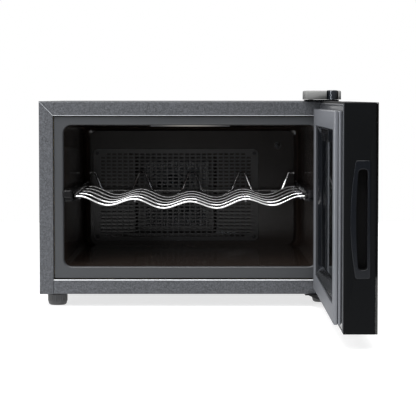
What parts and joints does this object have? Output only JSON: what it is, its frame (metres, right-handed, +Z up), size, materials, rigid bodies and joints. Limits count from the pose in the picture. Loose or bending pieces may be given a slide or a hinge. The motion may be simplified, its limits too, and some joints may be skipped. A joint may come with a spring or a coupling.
{
  "type": "wine cooler",
  "caption": "Countertop thermoelectric wine cooler with an open glass door on the right, a steel box on screw feet, a black liner, a rear duct with a grille and a sliding chrome bottle shelf.",
  "frame": {"origin": "on the floor, under the centre of the cabinet box, with the feet screwed in", "axes": "+X to the hinge side, +Y to the back, +Z up; the cabinet's front flange faces -Y and the door stands open 90 degrees"},
  "size_m": [0.4666, 0.9244, 0.3276],
  "materials": {
    "steel_coat": "matte",
    "liner_plastic": "gloss",
    "black_plastic": "satin",
    "fan_plastic": "satin",
    "foam": "matte",
    "aluminium": "satin",
    "module_ceramic": "matte",
    "board": "satin",
    "components": "satin",
    "screw_steel": "satin",
    "brass_insert": "satin",
    "lens": "satin",
    "hinge_steel": "satin",
    "hinge_cap": "satin",
    "hinge_barrel": "gloss",
    "chrome_wire": "polished",
    "door_plastic": "matte",
    "outer_glass": "polished",
    "inner_glass": "polished",
    "trim_plastic": "satin",
    "pocket_plastic": "matte",
    "gasket_vinyl": "satin",
    "bush_nylon": "satin",
    "foot_plastic": "satin"
  },
  "bodies": {
    "cabinet": {"outer_wrapper": "steel_coat", "base_panel": "steel_coat", "back_panel": "steel_coat", "inner_liner": "liner_plastic", "insulation_foam": "foam", "duct_panel": "liner_plastic", "fan_grille": "black_plastic", "grille_screws": "screw_steel", "inner_fan_frame": "fan_plastic", "cold_sink": "aluminium", "cold_block": "aluminium", "thermoelectric_module": "module_ceramic", "hot_sink": "aluminium", "outer_fan_frame": "fan_plastic", "rear_cover": "black_plastic", "rear_cover_screws": "screw_steel", "power_board": "board", "power_components": "components", "mains_inlet": "black_plastic", "led_lens": "lens", "led_board": "board", "temperature_probe": "black_plastic", "shelf_rail_left": "black_plastic", "shelf_rail_right": "black_plastic", "foot_inserts": "brass_insert", "top_hinge_bracket": "hinge_steel", "top_hinge_screws": "screw_steel", "top_hinge_cover": "hinge_cap", "top_hinge_barrel": "hinge_barrel", "top_hinge_pin": "screw_steel", "bottom_hinge_bracket": "hinge_steel", "bottom_hinge_screws": "screw_steel", "bottom_hinge_pin": "screw_steel"},
    "shelf": {"shelf_wave_wires": "chrome_wire", "shelf_long_wires": "chrome_wire", "shelf_rear_guard": "chrome_wire"},
    "door": {"door_frame": "door_plastic", "door_glass_outer": "outer_glass", "door_glass_inner": "inner_glass", "door_trim": "trim_plastic", "door_gasket": "gasket_vinyl", "handle_bezel": "trim_plastic", "handle_cup": "pocket_plastic", "display_housing": "trim_plastic", "display_board": "board", "door_bush_top": "bush_nylon", "door_bush_bottom": "bush_nylon"},
    "inner_fan": {"inner_fan_rotor": "fan_plastic"},
    "outer_fan": {"outer_fan_rotor": "fan_plastic"},
    "foot_fl_stud": {"foot_stud_fl": "screw_steel"},
    "foot_fl_pad": {"foot_pad_fl": "foot_plastic"},
    "foot_fr_stud": {"foot_stud_fr": "screw_steel"},
    "foot_fr_pad": {"foot_pad_fr": "foot_plastic"},
    "foot_rl_stud": {"foot_stud_rl": "screw_steel"},
    "foot_rl_pad": {"foot_pad_rl": "foot_plastic"},
    "foot_rr_stud": {"foot_stud_rr": "screw_steel"},
    "foot_rr_pad": {"foot_pad_rr": "foot_plastic"}
  },
  "joints": [
    {"name": "door_hinge", "type": "hinge", "parent": "cabinet", "child": "door", "pos_m": [0.2113, -0.2562, 0.1655], "axis": [0, 0, 1], "range_deg": [-90, 25]},
    {"name": "shelf_slide", "type": "slide", "parent": "cabinet", "child": "shelf", "axis": [0, -1, 0], "range_m": [0, 0.3]},
    {"name": "inner_fan_spin", "type": "hinge", "parent": "cabinet", "child": "inner_fan", "pos_m": [-0.0275, 0.13, 0.1515], "axis": [0, 1, 0], "continuous": true},
    {"name": "outer_fan_spin", "type": "hinge", "parent": "cabinet", "child": "outer_fan", "pos_m": [-0.0275, 0.214, 0.1515], "axis": [0, 1, 0], "continuous": true},
    {"name": "foot_fl_screw", "type": "slide", "parent": "cabinet", "child": "foot_fl_stud", "axis": [0, 0, -1], "range_m": [0, 0.008]},
    {"name": "foot_fl_turn", "type": "hinge", "parent": "foot_fl_stud", "child": "foot_fl_pad", "pos_m": [-0.2034, -0.189, 0.01], "axis": [0, 0, -1], "range_deg": [0, 2304]},
    {"name": "foot_fr_screw", "type": "slide", "parent": "cabinet", "child": "foot_fr_stud", "axis": [0, 0, -1], "range_m": [0, 0.008]},
    {"name": "foot_fr_turn", "type": "hinge", "parent": "foot_fr_stud", "child": "foot_fr_pad", "pos_m": [0.2034, -0.15, 0.01], "axis": [0, 0, -1], "range_deg": [0, 2304]},
    {"name": "foot_rl_screw", "type": "slide", "parent": "cabinet", "child": "foot_rl_stud", "axis": [0, 0, -1], "range_m": [0, 0.008]},
    {"name": "foot_rl_turn", "type": "hinge", "parent": "foot_rl_stud", "child": "foot_rl_pad", "pos_m": [-0.2034, 0.18, 0.01], "axis": [0, 0, -1], "range_deg": [0, 2304]},
    {"name": "foot_rr_screw", "type": "slide", "parent": "cabinet", "child": "foot_rr_stud", "axis": [0, 0, -1], "range_m": [0, 0.008]},
    {"name": "foot_rr_turn", "type": "hinge", "parent": "foot_rr_stud", "child": "foot_rr_pad", "pos_m": [0.2034, 0.18, 0.01], "axis": [0, 0, -1], "range_deg": [0, 2304]}
  ],
  "couplings": [
    {"joint": "foot_fl_screw", "follows": "foot_fl_turn", "m_per_rad": 0.00019893},
    {"joint": "foot_fr_screw", "follows": "foot_fr_turn", "m_per_rad": 0.00019893},
    {"joint": "foot_rl_screw", "follows": "foot_rl_turn", "m_per_rad": 0.00019893},
    {"joint": "foot_rr_screw", "follows": "foot_rr_turn", "m_per_rad": 0.00019893}
  ]
}
